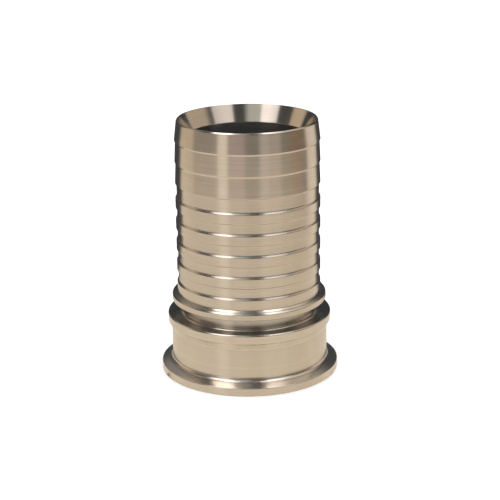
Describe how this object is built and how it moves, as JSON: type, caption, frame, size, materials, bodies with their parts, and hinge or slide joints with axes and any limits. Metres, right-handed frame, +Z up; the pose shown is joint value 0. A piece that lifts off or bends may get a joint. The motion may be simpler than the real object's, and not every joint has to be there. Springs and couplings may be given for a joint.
{
  "type": "hose stem",
  "caption": "Crimp hose stem: serrated hose shank with locking collars above a short sleeve and a flat-faced clamp flange, open right through.",
  "frame": {"origin": "centre of the clamp face, on the axis, at the bottom of the part", "axes": "+Z up the bore axis from the clamp face to the open hose end; X and Y are free, because the part is round"},
  "size_m": [0.0639, 0.0638, 0.0919],
  "materials": {
    "turned_steel": "turned stainless steel with fine lathe lines round the axis",
    "dressed_weld": "stainless weld metal, turned smooth with the parts beside it"
  },
  "bodies": {
    "root": {"hose_shank": "turned_steel", "lock_collar": "turned_steel", "lock_collar_weld": "dressed_weld", "end_sleeve": "turned_steel", "neck_weld": "dressed_weld", "shank_seam_weld": "dressed_weld", "clamp_ferrule": "turned_steel", "ferrule_weld": "dressed_weld", "ferrule_seam_weld": "dressed_weld"}
  },
  "joints": []
}
